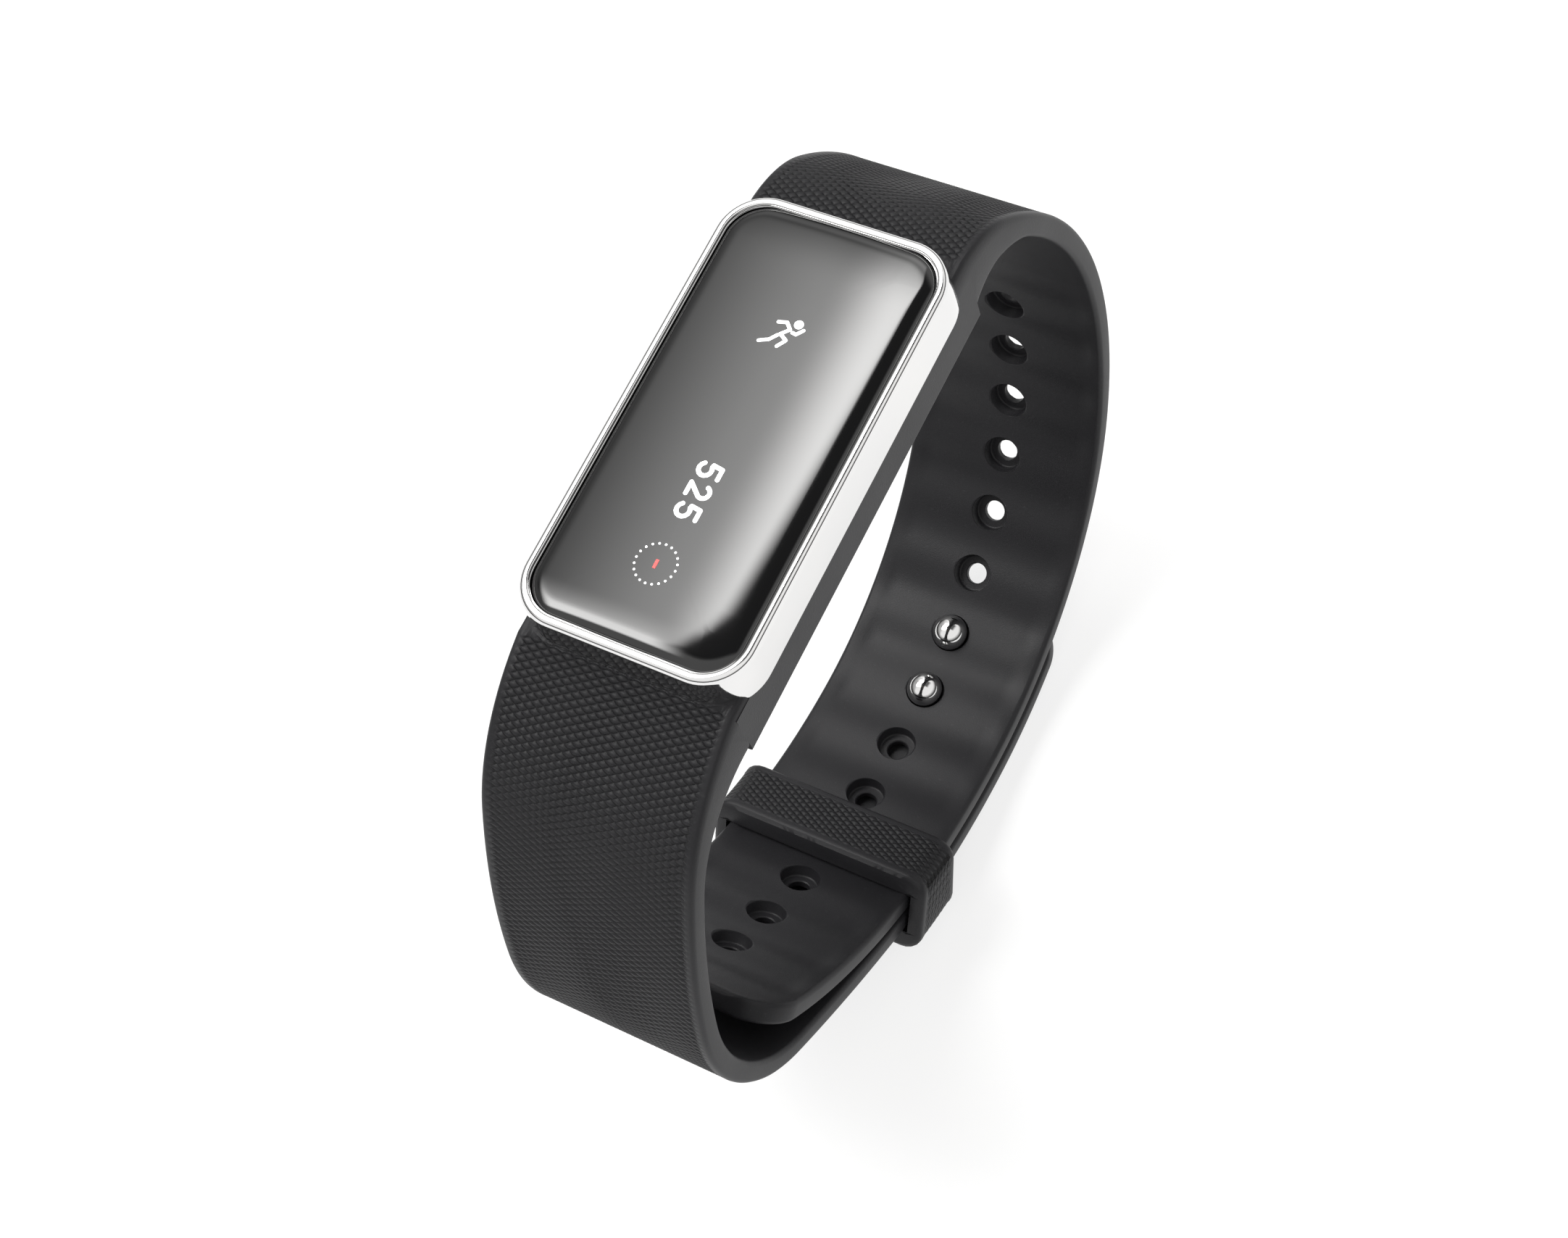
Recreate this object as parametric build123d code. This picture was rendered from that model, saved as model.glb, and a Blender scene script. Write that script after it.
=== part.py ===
"""Fitness tracker band, closed as worn: a module in a rubber band with a stud clasp.

Millimetres. +Z is the way the display faces, +X runs along the wrist and +Y runs from the
module's middle towards the strap with the holes. The origin is the middle of the wrist opening.
Everything is drawn with the bezel's base at Z = 0 and is moved to the wrist's middle when written.
"""
from build123d import *
import math
import os

# ---- band ------------------------------------------------------------------------------------
strap_width = 17.0
strap_thickness = 1.8
strap_edge_radius = 0.4         # rounding along both long edges of the straps
tip_corner_radius = 4.3         # rounded corners of both strap tips
overlap_gap = 0.45              # air between the two straps where they lie on each other

knuckle_radius, knuckle_turn = 10.3, 37.5   # outer face of the hole strap, arc by arc
side_radius, side_turn = 36.6, 67.0
back_radius, back_turn = 26.7, 71.5
seam_radius = 39.0              # where the keeper slides
tail_radius = 48.0              # the free tail
front_radius, front_length = 120.0, 17.0    # first stretch of the stud strap past the keeper
heel_radius, heel_turn = 15.0, 22.5         # and its bend under the wrist
stud_knuckle_radius, stud_knuckle_turn = 17.5, 44.3
hole_strap_start = (0.05, 2.0)  # gap to the bezel's end, height over the bezel's base
hole_strap_heading = -9.0       # degrees, first direction of the outer face
stud_strap_start_z = 0.65
stud_strap_heading = 196.7
hole_strap_taper = 12.5         # length over which each strap thins down from the module
stud_strap_taper = 15.0

# ---- holes, studs, keeper: distances along the hole strap's outer face --------------------------
first_hole = 38.05
hole_pitch = 5.95
hole_count = 14
hole_radius = 0.9
recess_play = 0.2               # air round a ball at rest in its recess
recess_depth = 1.2
studs_in_holes = (6, 7)
grip_radius = 2.5               # the rubber round a gripped hole that has to stretch
last_hole_to_tip = 9.3
stud_to_end = 4.5               # from the outermost stud to the tip of the stud strap
stud_to_peel = 6.1              # from the first stud to the line where the end peels up
peel_to_keeper = 8.65
keeper_travel = 6.0
keeper_length = 6.1
keeper_to_tail = 0.9            # from the keeper to the line where the tail flexes

ball_radius = 1.4
recess_radius = ball_radius + recess_play
stem_radius = 0.75
seat_clearance = 0.03
plate_thickness = 0.5
plate_cover = 0.7               # rubber outside the plate
plate_width = 7.0
plate_margin = 3.0

keeper_clearance = 0.3
keeper_wall = 1.7
keeper_side_wall = 1.2
keeper_corner = 1.2
keeper_edge = 0.35

# ---- bezel and window ----------------------------------------------------------------------------
bezel_overhang = 0.35           # how far the bezel stands out past each side of the strap
bezel_length, bezel_width, bezel_height = 34.85, strap_width + 2 * bezel_overhang, 3.65
bezel_corner = 3.6
bezel_flare = 0.2               # how much further out the base stands than the crest
bezel_rim = 0.7                 # crest width
bezel_edge = 0.3
ledge_z, ledge_thickness, ledge_width = 2.4, 0.5, 0.95
frame_seat_wall = 1.05
glass_fit = 0.06
glass_corner = 2.8
glass_edge_z = 3.5
glass_edge_radius = 0.45
glass_crown = 0.5
adhesive_thickness = 0.15
touch_thickness = 0.15
touch_fit = 0.1
panel_length, panel_width, panel_thickness = 27.0, 12.8, 0.9
mark_depth, mark_proud = 0.08, 0.02

# ---- what the display shows ------------------------------------------------------------------------
digit_height, digit_width, digit_stroke, digit_step = 1.9, 1.2, 0.32, 1.6
digits_x, digits_y = 0.12, -5.17
dial_x, dial_y, dial_radius, dial_dot_radius, dial_dots = -0.08, -10.93, 1.48, 0.085, 20
hand_length, hand_width = 0.65, 0.22
runner_y = 7.45
runner_stroke = 0.26
runner_head_radius = 0.34

# ---- chassis and cradle ------------------------------------------------------------------------------
skin_z = -4.95                  # underside of the cradle
cradle_wall = 1.3
cradle_lip = 0.7                # how far the cradle's bottom lip reaches in under the chassis
chassis_fit = 0.1
chassis_corner = 2.8
chassis_wall = 1.1
chassis_bottom_z = -3.9
deck_z, deck_thickness = 0.9, 0.6
post_radius = 1.3
post_inset = 0.85
gasket_thickness, gasket_width = 0.2, 0.6
cover_proud = 0.15
cover_fit = 0.1
cover_corner, gasket_corner = 1.9, 1.3     # outline of the cover, and of the gasket's inside
head_play = 0.05                # air round a cover screw's head
charge_width, charge_depth, charge_y = 5.3, 0.25, 0.9
contact_radius, contact_pitch, contact_count = 0.75, 2.5, 4
contact_proud = 0.05

# ---- inside ----------------------------------------------------------------------------------------------
board_length, board_width, board_thickness, board_z = 26.0, 11.6, 0.6, -0.4
battery_length, battery_width, battery_height = 16.2, 11.4, 2.2
battery_lift = 0.1
battery_y = -4.1
lead_radius, lead_spacing, lead_bend, lead_reach = 0.25, 2.0, 0.4, 0.7
motor_radius, motor_height, motor_wall, motor_y = 4.0, 2.6, 0.3, 9.2
motor_shaft_radius, motor_bore_clearance, motor_weight_height = 0.3, 0.06, 1.4
motor_air = 0.3
antenna_length, antenna_thickness, antenna_height = 6.0, 0.3, 2.8
flex_width, flex_thickness, flex_gap = 5.0, 0.12, 0.78
flex_tab = 1.3                  # how far the flex reaches over the board
screw_radius, screw_head_radius, screw_head_height, screw_length = 0.45, 0.9, 0.45, 2.6
screw_recess = (1.2, 0.22, 0.4)  # length and width of the head's cross, and twice its depth
screw_sunk = 0.1                # how far a cover screw's head lies inside the cover
board_screw_radius, board_boss_radius, board_head_height = 0.4, 0.9, 0.35
board_boss_inset = 4.5          # from the board's ends to its screws
board_air = 0.1                 # between the board's parts and the deck
post_play = 0.15                # round the posts where they pass the board
# x, y, width along X and length along Y of each chip
chips = ((-2.6, -3.4, 4.6, 4.6), (2.8, -3.0, 3.0, 5.0), (-2.8, 3.0, 4.0, 4.0), (2.6, 3.2, 3.2, 3.2),
         (3.9, -8.6, 1.6, 2.6), (-3.6, 8.6, 2.0, 2.4), (3.4, 8.4, 2.4, 2.0))


# ---- the band's side view: tangent arcs -------------------------------------------------------------------
class Arcs:
    """Tangent arcs in the YZ plane, all bending round the wrist. Offsets are positive outwards."""

    def __init__(self, start, heading, turns, way):
        """way is -1 for a run that turns clockwise and +1 for one that turns the other way."""
        self.way = way
        self.arcs = []
        point, angle, run = start, math.radians(heading), 0.0
        for radius, turn in turns:
            centre = (point[0] - way * radius * math.sin(angle), point[1] + way * radius * math.cos(angle))
            length = radius * math.radians(turn)
            self.arcs.append((centre, radius, angle - way * math.pi / 2, run, run + length))
            run += length
            angle += way * math.radians(turn)
            out = angle - way * math.pi / 2
            point = (centre[0] + radius * math.cos(out), centre[1] + radius * math.sin(out))
        self.length = run

    def arc_at(self, run):
        for arc in self.arcs:
            if run <= arc[4]:
                return arc
        return self.arcs[-1]

    def out_angle(self, run, arc=None):
        """Direction from the arc's centre to the band at this distance along the run."""
        centre, radius, first, begin, end = arc or self.arc_at(run)
        return first + self.way * (run - begin) / radius

    def at(self, run, offset=0.0, arc=None):
        centre, radius, first, begin, end = arc or self.arc_at(run)
        angle = self.out_angle(run, arc)
        return (centre[0] + (radius + offset) * math.cos(angle),
                centre[1] + (radius + offset) * math.sin(angle))

    def heading(self, run):
        return math.degrees(self.out_angle(run) + self.way * math.pi / 2)

    def plane(self, run, offset=0.0):
        """A plane on the band: local x along the wrist, local z outwards."""
        y, z = self.at(run, offset)
        angle = self.out_angle(run)
        return Plane(origin=(0, y, z), x_dir=(1, 0, 0), z_dir=(0, math.cos(angle), math.sin(angle)))

    def edges(self, first, last, offset):
        """The arcs from one distance to another, in order, forwards or backwards."""
        low, high = min(first, last), max(first, last)
        pieces = []
        for arc in self.arcs:
            begin, end = max(low, arc[3]), min(high, arc[4])
            if arc is self.arcs[-1]:
                end = high
            if end - begin > 1e-6:
                points = [side(self.at(run, offset, arc)) for run in (begin, (begin + end) / 2, end)]
                pieces.append(points)
        if first > last:
            pieces = [points[::-1] for points in pieces[::-1]]
        return [ThreePointArc(*points) for points in pieces]


def side(point):
    """A point of the side view, in space."""
    return Vector(0, point[0], point[1])


def biarc(start, start_heading, end, end_heading):
    """Two tangent arcs, as radius and turn, that join two points and directions to the left."""
    t0 = Vector(math.cos(math.radians(start_heading)), math.sin(math.radians(start_heading)))
    t1 = Vector(math.cos(math.radians(end_heading)), math.sin(math.radians(end_heading)))
    across = Vector(*end) - Vector(*start)
    together = across.dot(t0 + t1)
    spread = 2 * (1 - t0.dot(t1))
    reach = (math.sqrt(together ** 2 + spread * across.dot(across)) - together) / spread
    middle = (Vector(*start) + Vector(*end) + (t0 - t1) * reach) * 0.5
    turns = []
    for chord, tangent in ((middle - Vector(*start), t0), (Vector(*end) - middle, t1)):
        half_turn = math.acos(min(1.0, abs(chord.normalized().dot(tangent))))
        turns.append((chord.length / 2 / math.sin(half_turn), math.degrees(2 * half_turn)))
    return turns


bezel_end = bezel_length / 2 + bezel_flare
root_y = bezel_end + hole_strap_start[0]
hole_places = [first_hole + hole_pitch * i for i in range(hole_count)]
stud_places = [hole_places[i] for i in studs_in_holes]
stud_tip = stud_places[0] - stud_to_end
peel_line = stud_places[-1] + stud_to_peel
keeper_start = peel_line + peel_to_keeper
keeper_end = keeper_start + keeper_length
tail_line = keeper_end + keeper_to_tail
tail_tip = hole_places[-1] + last_hole_to_tip
outer_offset = overlap_gap + strap_thickness

worn_turns = [(knuckle_radius, knuckle_turn), (side_radius, side_turn), (back_radius, back_turn)]
worn_length = sum(radius * math.radians(turn) for radius, turn in worn_turns)
seam_turn = math.degrees((tail_line - worn_length) / seam_radius)
hole_run = Arcs((root_y, hole_strap_start[1]), hole_strap_heading,
                worn_turns + [(seam_radius, seam_turn), (tail_radius, 90.0)], -1)

# The stud strap leaves the seam on two arcs of its own and the module on one, and two more join them.
front_turns = [(front_radius, math.degrees(front_length / front_radius)), (heel_radius, heel_turn)]
front_run = Arcs(hole_run.at(tail_line, outer_offset), hole_run.heading(tail_line), front_turns, -1)
knuckle_turns = [(stud_knuckle_radius, stud_knuckle_turn)]
knuckle_run = Arcs((-root_y, stud_strap_start_z), stud_strap_heading, knuckle_turns, +1)
stud_turns = knuckle_turns + biarc(knuckle_run.at(knuckle_run.length), knuckle_run.heading(knuckle_run.length),
                                   front_run.at(front_run.length), front_run.heading(front_run.length) + 180)
stud_run = Arcs((-root_y, stud_strap_start_z), stud_strap_heading, stud_turns + front_turns[::-1], +1)

back_inner_z = min(hole_run.at(run, -strap_thickness)[1] for run in range(60, 110))
wrist_z = (skin_z + back_inner_z) / 2
half_width = strap_width / 2


# ---- helpers --------------------------------------------------------------------------------------------------
def slab(edges, width):
    """A closed side view, drawn out along the wrist to both sides of the middle."""
    face = Face(Wire(edges))
    return extrude(face, amount=width / 2, dir=(1, 0, 0), both=True)


def soften(solid, width, radius, ends=()):
    """Rounds the long edges of a strap and leaves its two ends, given as planes, sharp."""
    chosen = []
    for edge in solid.edges():
        middle = edge.position_at(0.5)
        on_end = any(abs(plane.to_local_coords(middle).Z) < 1e-3 for plane in ends)
        if abs(abs(middle.X) - width / 2) < 1e-3 and not on_end:
            if abs(edge.position_at(0).X - edge.position_at(1).X) < 1e-6:
                chosen.append(edge)
    return fillet(chosen, radius)


def end_plane(run, place):
    """The plane square to a run at one distance along it."""
    y, z = run.at(place)
    angle = math.radians(run.heading(place))
    return Plane(origin=(0, y, z), x_dir=(1, 0, 0), z_dir=(0, math.cos(angle), math.sin(angle)))


def band_strip(first, last, inner, outer, width):
    """A piece of band that follows the hole strap's run between two offsets."""
    top = hole_run.edges(first, last, outer)
    bottom = hole_run.edges(last, first, inner)
    return slab(top + [Line(top[-1] @ 1, bottom[0] @ 0)] + bottom + [Line(bottom[-1] @ 1, top[0] @ 0)], width)


def tip_cutter(place, way, width, corner):
    """What is cut away to round both corners of a strap tip. way is +1 where the tip is the far end."""
    plane = hole_run.plane(place - way * corner)
    sign = 1 if (plane.y_dir.dot(end_plane(hole_run, place).z_dir)) * way > 0 else -1
    tools = []
    for edge in (-1, 1):
        square = Pos(edge * width / 2, sign * corner) * Rectangle(2 * corner, 2 * corner)
        round_part = Pos(edge * (width / 2 - corner), 0) * Circle(corner)
        keep = Pos(edge * (width / 2 - corner), -sign * corner / 2) * Rectangle(2 * corner, corner)
        tools.append(extrude(plane * (square - round_part - keep), amount=10, both=True))
    return tools


def pin(plane, radius, low, high):
    """A cylinder on a band plane between two heights along its outward direction."""
    return extrude(Plane(plane.location * Pos(0, 0, low)) * Circle(radius), amount=high - low)


def block(length, width, low, high, corner=0.0, y=0.0, x=0.0):
    """An upright block with rounded corners. length is along Y and width along X."""
    if corner > 0:
        outline = RectangleRounded(width, length, corner)
    else:
        outline = Rectangle(width, length)
    return Pos(x, y, low) * extrude(outline, amount=high - low)


def disc(radius, low, high, x=0.0, y=0.0):
    return Pos(x, y, low) * extrude(Circle(radius), amount=high - low)


def cut_all(solid, tools):
    for tool in tools:
        solid = solid - tool
    return solid


# ---- straps -----------------------------------------------------------------------------------------------------
def strap_root(run, taper, y_end):
    """Side view edges of a strap's thick root: down its end, and along its underside to the taper."""
    top = side(run.at(0))
    heel = Vector(0, y_end, skin_z)
    thin = side(run.at(taper, -strap_thickness))
    away = math.radians(run.heading(taper))
    back = (0, -math.cos(away), -math.sin(away))
    under = Spline([thin, heel], tangents=[back, (0, -math.copysign(1, y_end), 0)])
    return [under, Line(heel, top)]


def corner_fill(end, height):
    """Rubber that reaches round the bezel's two corners at one end of the module."""
    fill = block(bezel_corner, strap_width, 0, height, y=end * (root_y - bezel_corner / 2))
    gap = hole_strap_start[0]
    return fill - block(2 * (root_y - gap), bezel_width + 2 * (bezel_flare + gap), -1, bezel_height,
                        bezel_corner)


def stud_shapes():
    studs = []
    floor = -(strap_thickness - recess_depth)
    centre = floor - math.sqrt(ball_radius ** 2 - hole_radius ** 2) - seat_clearance
    for place in stud_places:
        plane = hole_run.plane(place)
        stem = pin(plane, stem_radius, centre, outer_offset - plate_cover)
        studs.append(stem + plane.location * Pos(0, 0, centre) * Sphere(ball_radius))
    return studs


def hole_tools(place):
    """The through hole and, on the wrist side, its round recess."""
    plane = hole_run.plane(place)
    floor = -(strap_thickness - recess_depth)
    return [pin(plane, hole_radius, -2 * strap_thickness, overlap_gap / 2),
            pin(plane, recess_radius, -2 * strap_thickness, floor)]


def make_straps():
    parts = {}
    top = hole_run.edges(0, tail_line, 0)
    bottom = hole_run.edges(tail_line, hole_strap_taper, -strap_thickness)
    root = strap_root(hole_run, hole_strap_taper, root_y)
    strap = slab(top + [Line(top[-1] @ 1, bottom[0] @ 0)] + bottom + root, strap_width)
    root_plane = Plane(origin=(0, root_y, 0), z_dir=(0, 1, 0))
    strap = soften(strap, strap_width, strap_edge_radius, [root_plane, end_plane(hole_run, tail_line)])
    strap += corner_fill(+1, hole_strap_start[1] - strap_edge_radius)
    plugs = [pin(hole_run.plane(place), grip_radius, -2 * strap_thickness, overlap_gap / 2)
             for place in stud_places]
    rims = Compound([(strap & plug).solid() for plug in plugs])
    for place in hole_places:
        if place in stud_places:
            rims = cut_all(rims, hole_tools(place))
        elif place < tail_line:
            strap = cut_all(strap, hole_tools(place))
    parts["gripped_hole_rims"] = rims
    parts["hole_strap"] = cut_all(strap, plugs)

    tail = band_strip(tail_line, tail_tip, -strap_thickness, 0, strap_width)
    tail = soften(tail, strap_width, strap_edge_radius,
                  [end_plane(hole_run, tail_line), end_plane(hole_run, tail_tip)])
    for place in hole_places:
        if place > tail_line:
            tail = cut_all(tail, hole_tools(place))
    parts["hole_strap_tail"] = cut_all(tail, tip_cutter(tail_tip, +1, strap_width, tip_corner_radius))

    top = stud_run.edges(0, stud_run.length, 0) + hole_run.edges(tail_line, peel_line, outer_offset)
    bottom = hole_run.edges(peel_line, tail_line, overlap_gap)
    bottom += stud_run.edges(stud_run.length, stud_strap_taper, -strap_thickness)
    root = strap_root(stud_run, stud_strap_taper, -root_y)
    strap = slab(top + [Line(top[-1] @ 1, bottom[0] @ 0)] + bottom + root, strap_width)
    strap = soften(strap, strap_width, strap_edge_radius,
                   [root_plane.offset(-2 * root_y), end_plane(hole_run, peel_line)])
    parts["stud_strap"] = strap + corner_fill(-1, stud_strap_start_z - strap_edge_radius)

    studs = stud_shapes()
    plate = band_strip(stud_places[0] - plate_margin, stud_places[-1] + plate_margin,
                       outer_offset - plate_cover - plate_thickness, outer_offset - plate_cover, plate_width)
    end = band_strip(stud_tip, peel_line, overlap_gap, outer_offset, strap_width)
    end = soften(end, strap_width, strap_edge_radius,
                 [end_plane(hole_run, peel_line), end_plane(hole_run, stud_tip)])
    end = cut_all(end, tip_cutter(stud_tip, -1, strap_width, tip_corner_radius))
    parts["stud_strap_end"] = cut_all(end, [plate] + studs)
    parts["clasp_plate"] = cut_all(plate, studs)
    parts["clasp_studs"] = Compound([stud.solid() for stud in studs])
    return parts


def make_keeper():
    """A closed loop round both straps, turned about the same centre as the straps that it slides on."""
    start = end_plane(hole_run, keeper_start)
    centre = hole_run.arc_at(keeper_start)[0]
    inner_height = outer_offset + strap_thickness + 2 * keeper_clearance
    middle = (outer_offset - strap_thickness) / 2
    outwards = 1 if start.y_dir.dot(hole_run.plane(keeper_start).z_dir) > 0 else -1
    inside_width = strap_width + 2 * keeper_clearance
    section = RectangleRounded(inside_width + 2 * keeper_side_wall, inner_height + 2 * keeper_wall, keeper_corner)
    section -= RectangleRounded(inside_width, inner_height, strap_edge_radius)
    section = start * Pos(0, outwards * middle) * section
    angle = math.degrees(keeper_length / seam_radius)
    loop = revolve(section, Axis((0, centre[0], centre[1]), (-1, 0, 0)), revolution_arc=angle)
    rims = [edge for edge in loop.edges()
            if any(abs(plane.to_local_coords(edge.position_at(0.5)).Z) < 1e-3
                   for plane in (start, end_plane(hole_run, keeper_end)))]
    outer = [edge for edge in rims if is_outer_rim(edge)]
    return fillet(outer, keeper_edge)


def is_outer_rim(edge):
    """True for the keeper's outside edges, which lie further out than its passage."""
    point = edge.position_at(0.5)
    centre = hole_run.arc_at(keeper_start)[0]
    reach = math.hypot(point.Y - centre[0], point.Z - centre[1])
    slack = keeper_clearance + 0.3 * keeper_wall
    low, high = seam_radius - strap_thickness - slack, seam_radius + outer_offset + slack
    return reach < low or reach > high or abs(point.X) > half_width + slack


# ---- module -------------------------------------------------------------------------------------------------------
def glass_body(extra=0.0):
    """The window's outline below a crown that is bent across the width."""
    half = bezel_width / 2 - bezel_rim - glass_fit
    radius = (half ** 2 + glass_crown ** 2) / (2 * glass_crown)
    crown = Pos(0, 0, glass_edge_z + glass_crown - radius) * Rotation(90, 0, 0) * Cylinder(
        radius + extra, 2 * bezel_length)
    column = block(bezel_length - 2 * (bezel_rim + glass_fit), 2 * half, ledge_z + adhesive_thickness,
                   bezel_height + 2, glass_corner)
    return column & crown


def stroke(points, width):
    """A line of round-ended strokes through points in the display's plane."""
    shape = Circle(width / 2).locate(Location(points[0]))
    for first, last in zip(points, points[1:]):
        dx, dy = last[0] - first[0], last[1] - first[1]
        turn = math.degrees(math.atan2(dy, dx))
        middle = ((first[0] + last[0]) / 2, (first[1] + last[1]) / 2)
        shape += Location(middle, (0, 0, turn)) * Rectangle(math.hypot(dx, dy), width)
        shape += Pos(*last) * Circle(width / 2)
    return shape


def bend(centre, radius, first, last, steps=10):
    """Points along an arc, for a stroke to follow. Angles in degrees."""
    angles = [math.radians(first + (last - first) * i / steps) for i in range(steps + 1)]
    return [(centre[0] + radius * math.cos(a), centre[1] + radius * math.sin(a)) for a in angles]


def digit_lines():
    """Middle lines of a five and a two, upright in their own plane: x to the right, y up."""
    x, y = (digit_width - digit_stroke) / 2, (digit_height - digit_stroke) / 2
    five = [(x, y), (-0.75 * x, y), (-x, 0.1 * y)] + bend((0, x - y), 1.1 * x, 125, -150)
    two = bend((0, y - x), x, 160, -30) + [(-x, -y), (x, -y)]
    return five, two


def make_marks():
    """What the display shows, as thin inlays in the window's face."""
    five, two = digit_lines()
    number = [Location((digits_x, digits_y - digit_step * (i - 1)), (0, 0, -90)) * stroke(line, digit_stroke)
              for i, line in enumerate((five, two, five))]
    runner = [Pos(0.7, 1.0) * Circle(runner_head_radius),
              stroke([(-1.4, -1.0), (-0.75, -0.7), (-0.35, -0.2)], runner_stroke),
              stroke([(-0.75, 0.75), (-0.15, 0.9), (0.3, 0.45), (-0.2, -0.05), (0.4, -0.4), (0.0, -1.0)],
                     runner_stroke),
              stroke([(0.55, 0.3), (0.85, 0.25), (1.2, 0.7)], runner_stroke)]
    body = runner[1] + runner[2]
    runner = [Pos(0, runner_y) * shape for shape in (runner[0], body, runner[3])]
    ring = [Pos(dial_x, dial_y) * Rotation(0, 0, 360 * i / dial_dots) * Pos(dial_radius, 0) * Circle(dial_dot_radius)
            for i in range(dial_dots)]
    hand = [Location((dial_x, dial_y), (0, 0, 90)) * Rectangle(hand_length, hand_width)]
    skin = glass_body(mark_proud) - glass_body(-mark_depth)
    marks = {}
    for name, faces in (("step_digits", number), ("runner_icon", runner), ("dial_dots", ring), ("dial_hand", hand)):
        solids = []
        for face in faces:
            column = Pos(0, 0, ledge_z) * extrude(face, amount=bezel_height)
            solids += (column & skin).solids()
        marks[name] = Compound(solids)
    return marks


def make_window():
    """Bezel, glass, its adhesive, the touch film and the panel, from the outside in."""
    parts = {}
    flare = math.degrees(math.atan(bezel_flare / bezel_height))
    base = RectangleRounded(bezel_width + 2 * bezel_flare, bezel_length + 2 * bezel_flare, bezel_corner)
    bezel = extrude(base, amount=bezel_height, taper=flare)
    crest = bezel.faces().sort_by(Axis.Z)[-1]
    bezel = fillet(crest.edges(), bezel_edge)
    rim = bezel_rim
    bezel -= block(bezel_length - 2 * rim, bezel_width - 2 * rim, ledge_z, bezel_height + 1, glass_corner)
    inner = rim + ledge_width
    bezel -= block(bezel_length - 2 * inner, bezel_width - 2 * inner, -1, bezel_height, glass_corner - ledge_width)
    seat = frame_seat_wall
    bezel -= block(bezel_length - 2 * seat, bezel_width - 2 * seat, -1, ledge_z - ledge_thickness, glass_corner)
    parts["bezel"] = bezel

    marks = make_marks()
    glass = glass_body()
    top = [edge for edge in glass.edges() if edge.position_at(0.5).Z > glass_edge_z - 0.05]
    glass = fillet(top, glass_edge_radius)
    parts["cover_glass"] = cut_all(glass, [solid for mark in marks.values() for solid in mark.solids()])
    parts.update(marks)

    outer = rim + glass_fit
    ring = block(bezel_length - 2 * outer, bezel_width - 2 * outer, ledge_z, ledge_z + adhesive_thickness,
                 glass_corner)
    ring -= block(bezel_length - 2 * inner, bezel_width - 2 * inner, 0, bezel_height, glass_corner - ledge_width)
    parts["glass_adhesive"] = ring
    inner += touch_fit
    glass_under = ledge_z + adhesive_thickness
    parts["touch_sensor"] = block(bezel_length - 2 * inner, bezel_width - 2 * inner,
                                  glass_under - touch_thickness, glass_under, glass_corner - ledge_width)
    panel_top = glass_under - touch_thickness
    parts["display_panel"] = block(panel_length, panel_width, panel_top - panel_thickness, panel_top, 0.8)
    return parts


chassis_width = strap_width - 2 * (cradle_wall + chassis_fit)
chassis_length = 2 * (root_y - cradle_wall - chassis_fit)
cavity_width, cavity_length = chassis_width - 2 * chassis_wall, chassis_length - 2 * chassis_wall
opening_width = chassis_width + 2 * chassis_fit - 2 * cradle_lip
opening_length = chassis_length + 2 * chassis_fit - 2 * cradle_lip
cover_width, cover_length = opening_width - 2 * cover_fit, opening_length - 2 * cover_fit
cover_top_z = chassis_bottom_z - gasket_thickness
cover_bottom_z = skin_z - cover_proud
panel_bottom_z = ledge_z + adhesive_thickness - touch_thickness - panel_thickness
post_places = [(x * (cavity_width / 2 - post_inset), y * (cavity_length / 2 - post_inset))
               for x in (-1, 1) for y in (-1, 1)]
boss_places = [(0, -board_length / 2 + board_boss_inset), (0, board_length / 2 - board_boss_inset)]
head_z = cover_bottom_z + screw_sunk
flex_y = -panel_length / 2 - flex_gap


def cover_screw(x, y):
    """Pan-headed screw, head towards the skin, with a cross recess."""
    head = disc(screw_head_radius, head_z, head_z + screw_head_height, x, y)
    shaft = disc(screw_radius, head_z, head_z + screw_head_height + screw_length, x, y)
    screw = head + shaft
    for turn in (0, 90):
        screw -= Pos(x, y, head_z) * Rotation(0, 0, turn) * Box(*screw_recess)
    return screw


def board_screw(x, y):
    """Screw from under the board into a boss of the deck."""
    under = board_z
    return disc(board_boss_radius, under - board_head_height, under, x, y) + disc(
        board_screw_radius, under, deck_z - board_air, x, y)


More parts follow.
